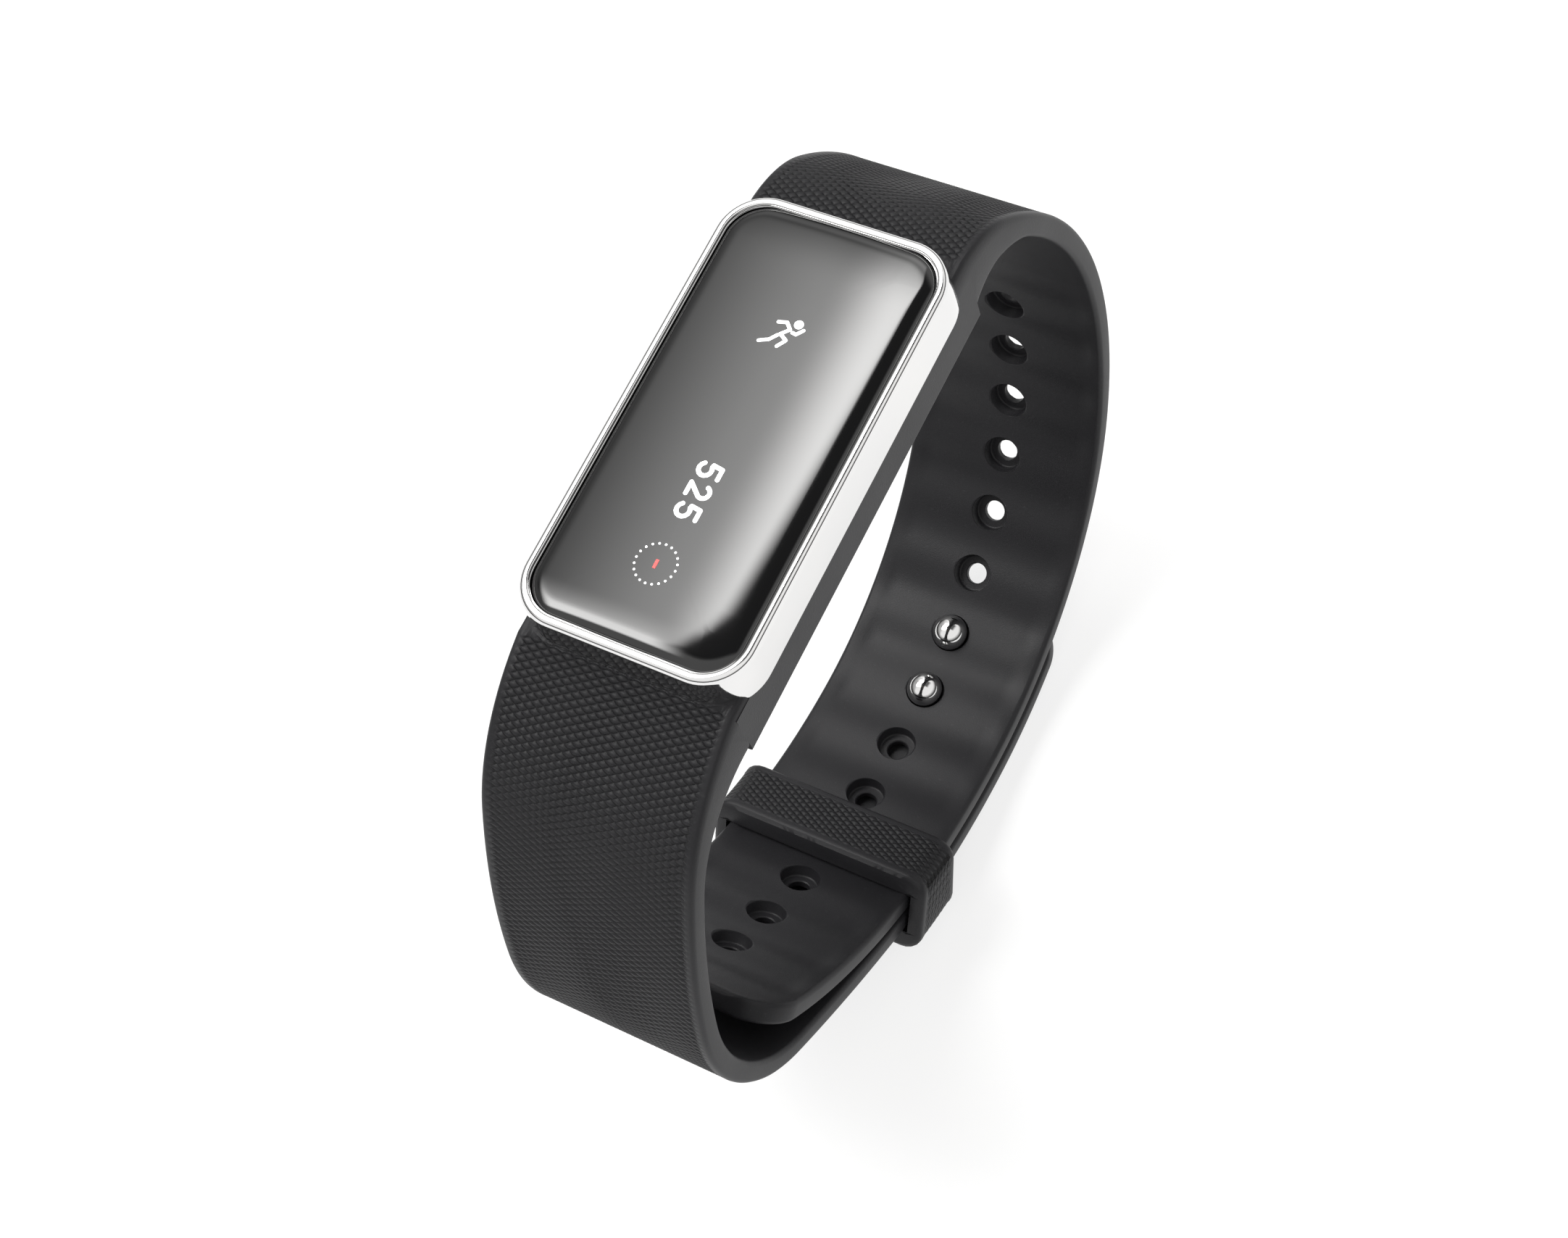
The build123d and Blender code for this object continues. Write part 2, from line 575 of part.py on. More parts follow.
def make_cradle_and_chassis():
    parts = {}
    cradle = block(2 * root_y, strap_width, skin_z, 0)
    long_edges = cradle.edges().filter_by(Axis.Y).sort_by(Axis.Z)[:2]
    cradle = fillet(long_edges, strap_edge_radius)
    cradle -= block(chassis_length + 2 * chassis_fit, chassis_width + 2 * chassis_fit, chassis_bottom_z, 1,
                    chassis_corner)
    cradle -= block(opening_length, opening_width, skin_z - 1, 0, 2.0)
    cradle -= block(charge_width, 2 * strap_width, skin_z - 1, skin_z + charge_depth, y=charge_y)
    parts["band_cradle"] = cradle

    seat = frame_seat_wall + chassis_fit
    deck_length, deck_width = bezel_length - 2 * seat, bezel_width - 2 * seat
    frame = block(deck_length, deck_width, deck_z, ledge_z - ledge_thickness, glass_corner)
    frame -= block(panel_length + 2, panel_width + 0.4, deck_z + deck_thickness, bezel_height, 0.8)
    frame += block(chassis_length, chassis_width, chassis_bottom_z, deck_z, chassis_corner)
    frame -= block(cavity_length, cavity_width, chassis_bottom_z - 1, deck_z, 1.0)
    for x, y in post_places:
        frame += disc(post_radius, chassis_bottom_z, deck_z, x, y)
    for x, y in boss_places:
        frame += disc(board_boss_radius, board_z + board_thickness, deck_z, x, y)
    frame -= block(flex_thickness + 0.3, flex_width + 0.6, deck_z - 0.1, ledge_z + 1, y=flex_y)
    frame = cut_all(frame, [cover_screw(x, y) for x, y in post_places])
    frame = cut_all(frame, [board_screw(x, y) for x, y in boss_places])
    parts["mid_frame"] = frame

    gasket = block(cover_length, cover_width, cover_top_z, chassis_bottom_z, cover_corner)
    gasket -= block(cover_length - 2 * gasket_width, cover_width - 2 * gasket_width, cover_top_z - 1, 0,
                    gasket_corner)
    heads = [disc(screw_head_radius + head_play, cover_bottom_z - 1, head_z + screw_head_height, x, y)
             for x, y in post_places]
    shafts = [disc(screw_radius, cover_bottom_z, 0, x, y) for x, y in post_places]
    parts["rear_gasket"] = cut_all(gasket, shafts)
    cover = block(cover_length, cover_width, cover_bottom_z, cover_top_z, cover_corner)
    cover = chamfer(cover.faces().sort_by(Axis.Z)[0].edges(), cover_proud)
    floor_z = skin_z + charge_depth
    cover -= block(charge_width, 2 * strap_width, cover_bottom_z - 1, floor_z, y=charge_y)
    contacts = [disc(contact_radius, floor_z - contact_proud, chassis_bottom_z,
                     x=(i - (contact_count - 1) / 2) * contact_pitch, y=charge_y) for i in range(contact_count)]
    parts["rear_cover"] = cut_all(cover, heads + shafts + contacts)
    parts["charging_contacts"] = Compound([contact.solid() for contact in contacts])
    parts["cover_screws"] = Compound([cover_screw(x, y).solid() for x, y in post_places])
    parts["board_screws"] = Compound([board_screw(x, y).solid() for x, y in boss_places])
    return parts


def make_electronics():
    parts = {}
    top = board_z + board_thickness
    board = block(board_length, board_width, board_z, top, 1.0)
    board = cut_all(board, [disc(post_radius + post_play, skin_z, bezel_height, x, y) for x, y in post_places])
    parts["circuit_board"] = cut_all(board, [board_screw(x, y) for x, y in boss_places])
    chip_height = deck_z - top - board_air
    parts["board_chips"] = Compound([block(long, wide, top, top + chip_height, x=x, y=y).solid()
                                     for x, y, wide, long in chips])

    low = chassis_bottom_z + battery_lift
    cell = block(battery_length, battery_width, low, low + battery_height, 1.2, y=battery_y)
    cell = fillet(cell.edges().group_by(Axis.Z)[-1] + cell.edges().group_by(Axis.Z)[0], 0.4)
    parts["battery"] = cell
    leads = []
    end_y, lead_z = battery_y + battery_length / 2, low + battery_height / 2
    for x in (-lead_spacing / 2, lead_spacing / 2):
        out, bend = end_y + lead_reach, lead_bend
        corner = bend * math.sqrt(0.5)
        path = Wire([Line((x, end_y, lead_z), (x, out - bend, lead_z)),
                     ThreePointArc((x, out - bend, lead_z), (x, out - bend + corner, lead_z + bend - corner),
                                   (x, out, lead_z + bend)),
                     Line((x, out, lead_z + bend), (x, out, board_z))])
        leads.append(sweep(Plane(origin=(x, end_y, lead_z), z_dir=(0, 1, 0)) * Circle(lead_radius), path).solid())
    parts["battery_leads"] = Compound(leads)

    low = chassis_bottom_z + battery_lift
    high = low + motor_height
    inside = motor_radius - motor_wall
    can = disc(motor_radius, low + motor_wall, high, y=motor_y)
    can -= disc(inside, low, high - motor_wall, y=motor_y)
    parts["motor_can"] = can
    parts["motor_cap"] = disc(motor_radius, low, low + motor_wall, y=motor_y)
    parts["motor_shaft"] = disc(motor_shaft_radius, low + motor_wall, high - motor_wall, y=motor_y)
    middle = (low + high) / 2
    weight_low, weight_high = middle - motor_weight_height / 2, middle + motor_weight_height / 2
    weight = disc(inside - motor_air, weight_low, weight_high, y=motor_y)
    weight -= block(2 * inside, 3 * inside, low, high, y=motor_y + 1.5 * inside)
    weight += disc(3 * motor_shaft_radius, weight_low, weight_high, y=motor_y)
    weight -= disc(motor_shaft_radius + motor_bore_clearance, low, high, y=motor_y)
    parts["motor_weight"] = weight

    wall_y = cavity_length / 2
    parts["antenna"] = block(antenna_thickness, antenna_length, -antenna_height, 0,
                             y=wall_y - antenna_thickness / 2)
    panel_mid = panel_bottom_z + panel_thickness / 2
    thick = flex_thickness
    flex = block(-panel_length / 2 - flex_y + thick / 2, flex_width, panel_mid, panel_mid + thick,
                 y=(-panel_length / 2 + flex_y - thick / 2) / 2)
    flex += block(thick, flex_width, top, panel_mid + thick, y=flex_y)
    tab_end = -board_length / 2 + flex_tab
    flex += block(tab_end - flex_y + thick / 2, flex_width, top, top + thick, y=(tab_end + flex_y - thick / 2) / 2)
    parts["display_flex"] = flex
    return parts


def main():
    os.makedirs("parts", exist_ok=True)
    parts = {}
    for make in (make_straps, make_window, make_cradle_and_chassis, make_electronics):
        parts.update(make())
    parts["strap_keeper"] = make_keeper()
    for name, shape in parts.items():
        solids = shape.solids()
        shape = solids[0] if len(solids) == 1 else Compound(solids)
        export_step(Pos(0, 0, -wrist_z) * shape, f"parts/{name}.step")

    def report(name, point):
        print(f"{name}: Y {point[0]:.4f} Z {point[1] - wrist_z:.4f}")

    print(f"wrist middle is {-wrist_z:.3f} below the bezel's base")
    report("clasp_peel axis", hole_run.at(peel_line, outer_offset))
    report("tail_flex axis", hole_run.at(tail_line, -strap_thickness))
    report("keeper_slide axis", hole_run.arc_at(keeper_start)[0])
    print("keeper travel, degrees:", round(math.degrees(keeper_travel / seam_radius), 3))
    report("motor axis", (motor_y, 0))
    print("stud strap arcs, radius and turn:", [(round(r, 2), round(a, 2)) for r, a in stud_turns])
    for label, run in (("peel", peel_line), ("tail", tail_line), ("tip", tail_tip), ("stud tip", stud_tip)):
        report(label, hole_run.at(run))


main()
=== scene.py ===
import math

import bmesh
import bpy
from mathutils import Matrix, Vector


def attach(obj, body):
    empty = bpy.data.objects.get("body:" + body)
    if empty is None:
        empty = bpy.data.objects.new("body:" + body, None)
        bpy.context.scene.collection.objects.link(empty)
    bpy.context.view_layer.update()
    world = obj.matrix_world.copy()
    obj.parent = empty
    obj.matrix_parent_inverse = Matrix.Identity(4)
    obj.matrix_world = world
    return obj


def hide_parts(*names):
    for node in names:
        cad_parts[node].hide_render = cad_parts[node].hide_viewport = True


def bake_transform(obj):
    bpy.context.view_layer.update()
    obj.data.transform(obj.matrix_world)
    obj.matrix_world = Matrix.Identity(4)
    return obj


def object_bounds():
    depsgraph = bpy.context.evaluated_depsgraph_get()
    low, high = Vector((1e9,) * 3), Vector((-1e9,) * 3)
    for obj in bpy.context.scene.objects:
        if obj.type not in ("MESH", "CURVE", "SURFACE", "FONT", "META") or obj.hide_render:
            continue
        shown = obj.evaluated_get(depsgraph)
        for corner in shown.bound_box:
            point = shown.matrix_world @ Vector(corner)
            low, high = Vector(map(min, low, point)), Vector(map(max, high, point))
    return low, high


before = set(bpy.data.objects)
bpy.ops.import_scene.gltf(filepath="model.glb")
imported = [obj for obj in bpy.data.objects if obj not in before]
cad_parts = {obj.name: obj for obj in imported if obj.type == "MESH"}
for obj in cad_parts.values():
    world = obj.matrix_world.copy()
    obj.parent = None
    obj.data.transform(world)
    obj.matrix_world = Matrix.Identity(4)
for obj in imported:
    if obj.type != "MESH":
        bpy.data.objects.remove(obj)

# %% [markdown]
# # A fitness tracker band, finished in Blender
# The engineering model comes in as a fixed frame: every solid already sits where it belongs and
# rides on a body that can move. The work here is what the eye wants: the moulded pattern of the
# rubber, the polished frame, the domed window, the ball studs, and light that suits them.
# New pieces are drawn in millimetres, because the whole object is small, and are scaled to
# Blender's metres at the end.

MM = 0.001
cad_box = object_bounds()
print("frame:", len(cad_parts), "nodes, box", [[round(v, 4) for v in c] for c in cad_box])

# %% [markdown]
# ## Camera
# The band is seen from above its right side, so that the window, the loop's inside and the
# front strap all show. A camera could be aimed with a Track To constraint, but three rows of a
# turn matrix say exactly how it is tilted: its right, its down and its forward direction.

# %% Camera
CAMERA_PLACE = Vector((0.069613, -0.059017, 0.177912))
CAMERA_RIGHT = Vector((0.86874914, 0.44684133, -0.21355973))
CAMERA_DOWN = Vector((0.33196435, -0.84539734, -0.41845311))
CAMERA_AHEAD = Vector((-0.36752497, 0.29263656, -0.88277361))


def make_camera():
    lens = bpy.data.cameras.new("camera")
    lens.lens = 58.92
    lens.sensor_width = 36.0
    lens.clip_start, lens.clip_end = 0.01, 10.0
    camera = bpy.data.objects.new("camera", lens)
    bpy.context.scene.collection.objects.link(camera)
    turn = Matrix((CAMERA_RIGHT, -CAMERA_DOWN, -CAMERA_AHEAD)).transposed().to_4x4()
    camera.matrix_world = Matrix.Translation(CAMERA_PLACE) @ turn
    bpy.context.scene.camera = camera
    return camera


camera = make_camera()
print("camera at", [round(v, 3) for v in camera.matrix_world.translation])

# %% [markdown]
# ## Shader maths in plain expressions
# A node tree can be drawn by hand in the editor. In a script it reads better as arithmetic, so
# `Wire` wraps one socket and turns +, -, * and / into Math nodes, and `Paint.node` adds any
# other node from its type, its settings and its inputs.

# %% Wire and Paint
class Wire:
    """One output socket of a node tree, with arithmetic."""

    def __init__(self, paint, socket):
        self.paint, self.socket = paint, socket

    def maths(self, operation, *values):
        return self.paint.node("ShaderNodeMath", {"operation": operation}, dict(enumerate(values)))

    def __add__(self, other):
        return self.maths("ADD", self, other)

    def __radd__(self, other):
        return self.maths("ADD", other, self)

    def __sub__(self, other):
        return self.maths("SUBTRACT", self, other)

    def __rsub__(self, other):
        return self.maths("SUBTRACT", other, self)

    def __mul__(self, other):
        return self.maths("MULTIPLY", self, other)

    def __rmul__(self, other):
        return self.maths("MULTIPLY", other, self)

    def __truediv__(self, other):
        return self.maths("DIVIDE", self, other)

    def __pow__(self, other):
        return self.maths("POWER", self, other)

    def __abs__(self):
        return self.maths("ABSOLUTE", self)

    def sine(self):
        return self.maths("SINE", self)

    def rise(self, low, high):
        """0 below low, 1 above high and smooth between them."""
        return self.paint.node("ShaderNodeMapRange", {"interpolation_type": "SMOOTHSTEP"},
                               {"Value": self, "From Min": low, "From Max": high})


class Paint:
    """Adds nodes to one node tree."""

    def __init__(self, owner):
        owner.use_nodes = True
        self.tree = owner.node_tree
        self.tree.nodes.clear()

    def node(self, kind, settings=None, inputs=None, output=0):
        node = self.tree.nodes.new(kind)
        for name, value in (settings or {}).items():
            setattr(node, name, value)
        for name, value in (inputs or {}).items():
            if isinstance(value, Wire):
                self.tree.links.new(value.socket, node.inputs[name])
            else:
                node.inputs[name].default_value = value
        return Wire(self, node.outputs[output]) if node.outputs else node

    def mix(self, factor, first, second):
        """Colours are mixed here, because a Math node would turn them grey."""
        return self.node("ShaderNodeMix", {"data_type": "RGBA"}, {0: factor, 6: first, 7: second}, 2)

    def noise(self, place, scale, detail=3.0, roughness=0.5):
        inputs = {"Vector": place, "Scale": scale, "Detail": detail, "Roughness": roughness}
        return self.node("ShaderNodeTexNoise", {}, inputs)

    def bump(self, height, distance, normal=None):
        inputs = {"Height": height, "Distance": distance, "Strength": 1.0}
        if normal:
            inputs["Normal"] = normal
        return self.node("ShaderNodeBump", {}, inputs)


def grey(value):
    return (value, value, value, 1.0)


print("shader helpers ready")

# %% [markdown]
# ## Light
# A small studio: a bright even ceiling, a darker ring near the horizon that draws thin dark
# lines into the polished metal, and one long soft light whose sharp edge ends in the window.
# Lamps could do this, but a world that is painted by direction is softer, shows in every
# reflection at the right place, and leaves no lamp standing in the picture.

# %% World
CEILING, HORIZON = 1.12, 0.07


def paint_world():
    world = bpy.data.worlds.new("studio")
    bpy.context.scene.world = world
    paint = Paint(world)
    way = paint.node("ShaderNodeTexCoord", {}, {}, "Generated")
    parts = paint.node("ShaderNodeSeparateXYZ", {}, {0: way})
    x, y, z = (Wire(paint, parts.socket.node.outputs[i]) for i in range(3))
    level = HORIZON + (CEILING - HORIZON) * z.rise(0.10, 0.5)
    above = z.rise(0.45, 0.7)
    left_side = 1 - x.rise(-0.80, -0.55)
    # The long light grows from the window's left edge and ends sharply near its right edge. That
    # edge leans, so that the light narrows towards the window's front.
    lean = x - 0.45 * y
    slope = 1.1 * x.rise(-0.95, -0.50) + 3.6 * x.rise(-0.68, -0.30) + 9.5 * x.rise(-0.37, -0.20) ** 1.4
    long_light = slope * (1 - lean.rise(-0.375, -0.33)) * y.rise(0.0, 0.2) * (1 - 0.85 * y.rise(0.38, 0.62))
    foot_light = (1 - y.rise(0.04, 0.21)) * y.rise(-0.30, -0.12) * x.rise(-0.75, -0.6) * (1 - x.rise(-0.36, -0.26))
    shade = 1 - 0.87 * (1 - x.rise(0.35, 0.6)) * y.rise(-0.05, 0.1) * (1 - y.rise(0.55, 0.75)) * above
    level = level * shade * (1 - 0.5 * left_side) + above * (long_light + 12.0 * foot_light)
    light = paint.node("ShaderNodeBackground", {}, {"Color": (1.0, 0.995, 0.985, 1.0), "Strength": level})
    paint.node("ShaderNodeOutputWorld", {}, {"Surface": light})
    return world


paint_world()
bpy.context.scene.view_settings.view_transform = "Standard"
print("world painted")

# %% [markdown]
# ## Floor
# The floor is plain and pale.

# %% Floor
def new_object(name, mesh_maker):
    """A mesh object from a function that fills a bmesh, drawn in millimetres."""
    bm = bmesh.new()
    mesh_maker(bm)
    bmesh.ops.scale(bm, vec=(MM, MM, MM), verts=bm.verts)
    mesh = bpy.data.meshes.new(name)
    bm.to_mesh(mesh)
    bm.free()
    piece = bpy.data.objects.new(name, mesh)
    bpy.context.scene.collection.objects.link(piece)
    return piece


def floor_material():
    material = bpy.data.materials.new("floor_white")
    paint = Paint(material)
    place = paint.node("ShaderNodeTexCoord", {}, {}, "Object")
    mottle = paint.noise(place, 6.0)
    shader = paint.node("ShaderNodeBsdfPrincipled", {}, {
        "Base Color": paint.mix(mottle, grey(0.30), grey(0.34)), "Roughness": 0.5, "Specular IOR Level": 0.0,
        "Emission Color": grey(1.0), "Emission Strength": 0.72})
    paint.node("ShaderNodeOutputMaterial", {}, {0: shader})
    return material


floor = new_object("floor", lambda bm: bmesh.ops.create_grid(bm, x_segments=1, y_segments=1, size=2500))
floor.data.transform(Matrix.Translation((0, 0, cad_box[0][2] - 0.0002)))
floor.data.materials.append(floor_material())
print("floor at", round(cad_box[0][2], 4))

# %% [markdown]
# ## Rubber
# The band is one black rubber moulding. Its outside has a pattern of small staggered lens
# shapes, its rim and its inside are smooth with a fine grain. The pattern could be a bump only,
# but then the edge of the band would be too clean, so the mesh carries it too. Both use the
# same numbers: a diamond lattice in the band's own UV map, where u runs across and v along.

# %% Pattern numbers and the rubber finish
PATTERN_ACROSS, PATTERN_ALONG = 1.05, 0.62      # one lens shape, mm
UV_SPAN = 128.0                                 # mm that the UV map's unit square stands for
PATTERN_DEPTH = 0.11                            # mm, from a lens's top to the groove


def rubber_material():
    material = bpy.data.materials.new("band_rubber")
    paint = Paint(material)
    place = paint.node("ShaderNodeTexCoord", {}, {}, "Object")
    chart = paint.node("ShaderNodeSeparateXYZ", {}, {0: paint.node("ShaderNodeTexCoord", {}, {}, "UV")})
    u, v = (Wire(paint, chart.socket.node.outputs[i]) for i in range(2))
    weave = paint.node("ShaderNodeAttribute", {"attribute_name": "weave"}, {}, "Fac")
    a = u * (UV_SPAN / PATTERN_ACROSS)
    b = v * (UV_SPAN / PATTERN_ALONG)
    lens = abs(((a + b) * math.pi).sine() * ((a - b) * math.pi).sine()) ** 0.55
    grain = paint.noise(place, 9000.0, 2.0)
    speck = paint.noise(place, 3200.0, 3.0, 0.6).rise(0.62, 0.74)
    cloud = paint.noise(place, 120.0, 3.0)
    coarse = paint.bump(lens * weave, 0.00012)
    fine = paint.bump(grain, 0.000012, coarse)
    # The mask below is painted shade: it darkens the rubber's colour in the grooves between the lens shapes, where
    # shade falls.
    groove_shade = weave * (1 - lens)
    colour = paint.mix(cloud, (0.0125, 0.0123, 0.0138, 1), (0.0175, 0.0171, 0.0190, 1))
    colour = paint.mix(groove_shade * 0.55, colour, (0.0035, 0.0035, 0.004, 1))
    colour = paint.mix(speck * 0.30, colour, (0.036, 0.036, 0.039, 1))
    shader = paint.node("ShaderNodeBsdfPrincipled", {}, {
        "Base Color": colour, "Roughness": 0.40 + 0.12 * cloud + 0.04 * weave, "Normal": fine,
        "Specular IOR Level": 0.22})
    paint.node("ShaderNodeOutputMaterial", {}, {0: shader})
    return material


RUBBER = rubber_material()
print("rubber:", len(RUBBER.node_tree.nodes), "nodes")

# %% [markdown]
# ## The band's line
# From the side, the band is a row of arcs that run smoothly into each other. `Run` keeps them
# and answers two questions: where is the point this far along, and how far along and how far
# out is this point. The radii are those of the engineering model.

# %% Run
class Run:
    """Tangent arcs in the YZ plane. way is -1 for clockwise and +1 for the other way."""

    def __init__(self, start, heading, arcs, way):
        self.way, self.arcs = way, []
        (y, z), angle, along = start, math.radians(heading), 0.0
        for radius, degrees in arcs:
            turn = math.radians(degrees)
            centre = (y - way * radius * math.sin(angle), z + way * radius * math.cos(angle))
            first = angle - way * math.pi / 2
            self.arcs.append((centre, radius, first, turn, along))
            along += radius * turn
            angle += way * turn
            out = angle - way * math.pi / 2
            y, z = centre[0] + radius * math.cos(out), centre[1] + radius * math.sin(out)
        self.length = along

    def at(self, along, off=0.0):
        for centre, radius, first, turn, begin in self.arcs:
            if along <= begin + radius * turn + 1e-6:
                break
        out = first + self.way * (along - begin) / radius
        return centre[0] + (radius + off) * math.cos(out), centre[1] + (radius + off) * math.sin(out)

    def find(self, y, z):
        """Distance along and distance outwards of a point near the run."""
        best = None
        for centre, radius, first, turn, begin in self.arcs:
            out = math.atan2(z - centre[1], y - centre[0])
            swept = self.way * (out - first)
            swept = (swept + math.pi) % (2 * math.pi) - math.pi
            miss = max(0.0, -swept, swept - turn) * radius
            off = math.hypot(y - centre[0], z - centre[1]) - radius
            swept = min(max(swept, 0.0), turn)
            if best is None or miss + abs(off) < best[0]:
                best = (miss + abs(off), begin + radius * swept, off)
        return best[1:]


WRIST_Z = 30.0353                 # from the wrist's middle up to the frame's base
ROOT_Y = 17.675                   # where both straps leave the module
THICKNESS, HALF_WIDTH, EDGE = 1.8, 8.5, 0.4
BACK = Run((ROOT_Y, WRIST_Z + 2.0), -9.0,
           [(10.3, 37.5), (36.6, 67.0), (26.7, 71.5), (39.0, 27.311), (48.0, 27.76)], -1)
FRONT = Run((-ROOT_Y, WRIST_Z + 0.65), 196.7,
            [(17.5, 44.3), (63.11, 14.88), (21.94, 41.19), (15.0, 22.5), (120.0, 8.117),
             (41.25, 27.311), (28.95, 29.204)], +1)
print("back strap", round(BACK.length, 1), "mm, front strap", round(FRONT.length, 1), "mm")

# %% [markdown]
# ## Straps
# A strap is its cross-section, carried along the arcs. The section starts as one rectangle whose
# corners are bevelled round, and `spin` carries it round each arc's centre in turn. After that
# the rings near the module are thickened towards the skin, and the rings near the tip are drawn
# in to a rounded end. The pattern is pressed in last, a little at every vertex of the outside.

# %% Cross-section and spin
ACROSS_STEPS, INNER_STEPS = 60, 18


def section(bm, run):
    """The strap's rounded section at the start of a run, as a loop of edges."""
    corners = []
    for x, off in ((-HALF_WIDTH, 0), (HALF_WIDTH, 0), (HALF_WIDTH, -THICKNESS), (-HALF_WIDTH, -THICKNESS)):
        y, z = run.at(0, off)
        corners.append(bm.verts.new((x, y, z)))
    bm.faces.new(corners)
    bmesh.ops.bevel(bm, geom=corners, offset=EDGE, offset_type="OFFSET", segments=4, profile=0.5,
                    affect="VERTICES", material=-1)
    bmesh.ops.delete(bm, geom=list(bm.faces), context="FACES_ONLY")
    return list(bm.verts) + list(bm.edges)


def carry(bm, geom, run, step):
    """Carries a loop of edges round every arc of a run."""
    for centre, radius, first, turn, begin in run.arcs:
        steps = max(2, round(radius * turn / step))
        made = bmesh.ops.spin(bm, geom=geom, cent=(0, *centre), axis=(1, 0, 0), angle=run.way * turn,
                              steps=steps, use_merge=False, use_duplicate=False)
        geom = made["geom_last"]
    return geom


def divide_across(bm, run):
    """Cuts the outside finely, for the pattern, and the inside less finely. This is quicker after
    the spin, because every step of a spin costs more when the section has more points."""
    inner, outer = [], []
    for edge in bm.edges:
        if edge.calc_length() > HALF_WIDTH:
            off = run.find(edge.verts[0].co.y, edge.verts[0].co.z)[1]
            (outer if off > -THICKNESS / 2 else inner).append(edge)
    bmesh.ops.subdivide_edges(bm, edges=outer, cuts=ACROSS_STEPS - 1, use_grid_fill=True)
    bmesh.ops.subdivide_edges(bm, edges=inner, cuts=INNER_STEPS - 1, use_grid_fill=True)


print("section:", ACROSS_STEPS, "steps outside,", INNER_STEPS, "inside")

# %% Shaping a strap: root, tip, ripples and pattern
TIP_CORNER = 4.3
SKIN_Z = WRIST_Z - 4.95
RIPPLE = 0.26                     # mm, the soft waves of the inside, one for each hole


def lens_height(x, along):
    a, b = x / PATTERN_ACROSS, along / PATTERN_ALONG
    return abs(math.sin(math.pi * (a + b)) * math.sin(math.pi * (a - b))) ** 0.55


def fade(value, low, high):
    t = min(1.0, max(0.0, (value - low) / (high - low)))
    return t * t * (3 - 2 * t)


def pattern_share(x, along, length):
    """How strongly the pattern shows: full inside a smooth rim, and none at the tip."""
    rim = 1 - fade(abs(x), 7.55, 7.95)
    return rim * (1 - fade(along, length - 1.3, length - 0.8))


def root_extra(run, along, taper):
    """How much thicker than the plain strap it is near the module."""
    deepest = run.at(0, 0)[1] - SKIN_Z - THICKNESS
    t = 1 - min(1.0, along / taper)
    return deepest * t * t * (1.25 - 0.25 * t)


def shape_strap(bm, run, taper, ripple_start):
    """Moves the spun vertices, says where the pattern is and returns how far along each vertex lies, for the UV map.
    """
    weave = bm.verts.layers.float.new("weave")
    places = {}
    for vert in bm.verts:
        along, off = run.find(vert.co.y, vert.co.z)
        left = run.length - along
        if left < TIP_CORNER:
            drawn_in = TIP_CORNER - math.sqrt(max(0.0, TIP_CORNER ** 2 - (TIP_CORNER - left) ** 2))
            vert.co.x *= (HALF_WIDTH - drawn_in) / HALF_WIDTH
        if left < EDGE:
            pinch = EDGE - math.sqrt(max(0.0, EDGE ** 2 - (EDGE - left) ** 2))
            middle = -THICKNESS / 2
            off = middle + (off - middle) * (THICKNESS / 2 - pinch) / (THICKNESS / 2)
        inner = min(1.0, max(0.0, -off / THICKNESS))
        if along < taper:
            off -= inner * root_extra(run, along, taper)
        x = vert.co.x
        share = 0.0
        if inner < 0.01 and left > EDGE:
            share = pattern_share(x, along, run.length)
            off -= PATTERN_DEPTH * share * (1 - lens_height(x, along))
        if inner > 0.95 and ripple_start is not None and abs(x) < HALF_WIDTH - EDGE:
            wave = 0.5 - 0.5 * math.cos(2 * math.pi * (along - ripple_start) / 5.95)
            off += RIPPLE * wave * fade(along, ripple_start - 9, ripple_start) * fade(left, 1.5, 5)
        vert[weave] = share
        places[vert] = along
        y, z = run.at(along, off)
        vert.co = (x, y, z)
    return places


def write_uv(bm, places):
    uv = bm.loops.layers.uv.new("UVMap")
    for face in bm.faces:
        for loop in face.loops:
            loop[uv].uv = (0.5 + loop.vert.co.x / UV_SPAN, places[loop.vert] / UV_SPAN)


def make_strap(bm, run, taper, ripple_start=None):
    first = section(bm, run)
    carry(bm, first, run, PATTERN_ALONG / 4)
    divide_across(bm, run)
    places = shape_strap(bm, run, taper, ripple_start)
    first_loop = [e for e in bm.edges if e.is_boundary and all(places[v] < 0.01 for v in e.verts)]
    back = bmesh.ops.extrude_edge_only(bm, edges=first_loop)["geom"]
    moved = [v for v in back if isinstance(v, bmesh.types.BMVert)]
    towards = -math.copysign(4.2, run.at(0)[0])
    bmesh.ops.translate(bm, verts=moved, vec=(0, towards, 0))
    for vert in moved:
        places[vert] = 0.0
    open_edges = [e for e in bm.edges if e.is_boundary]
    bmesh.ops.holes_fill(bm, edges=open_edges, sides=0)
    write_uv(bm, places)
    bmesh.ops.recalc_face_normals(bm, faces=bm.faces)


print("strap shaping ready")

# %% [markdown]
# ## Holes
# Each hole has a wide soft-lipped recess on the skin side and a plain round bore through the
# rest. One lathe profile, spun full circle, makes the cutter. The same boolean also trims the
# straps' roots to the frame's outline, so that the rubber reaches round its rounded corners.

# %% Cutters
HOLE_PLACES = [38.05 + 5.95 * i for i in range(14)]
HOLE_RADIUS, RECESS_RADIUS, RECESS_DEPTH, LIP = 0.9, 1.62, 1.2, 0.2
BEZEL_HALF = (8.85, 17.425)
BEZEL_FLARE, BEZEL_CORNER = 0.2, 3.6


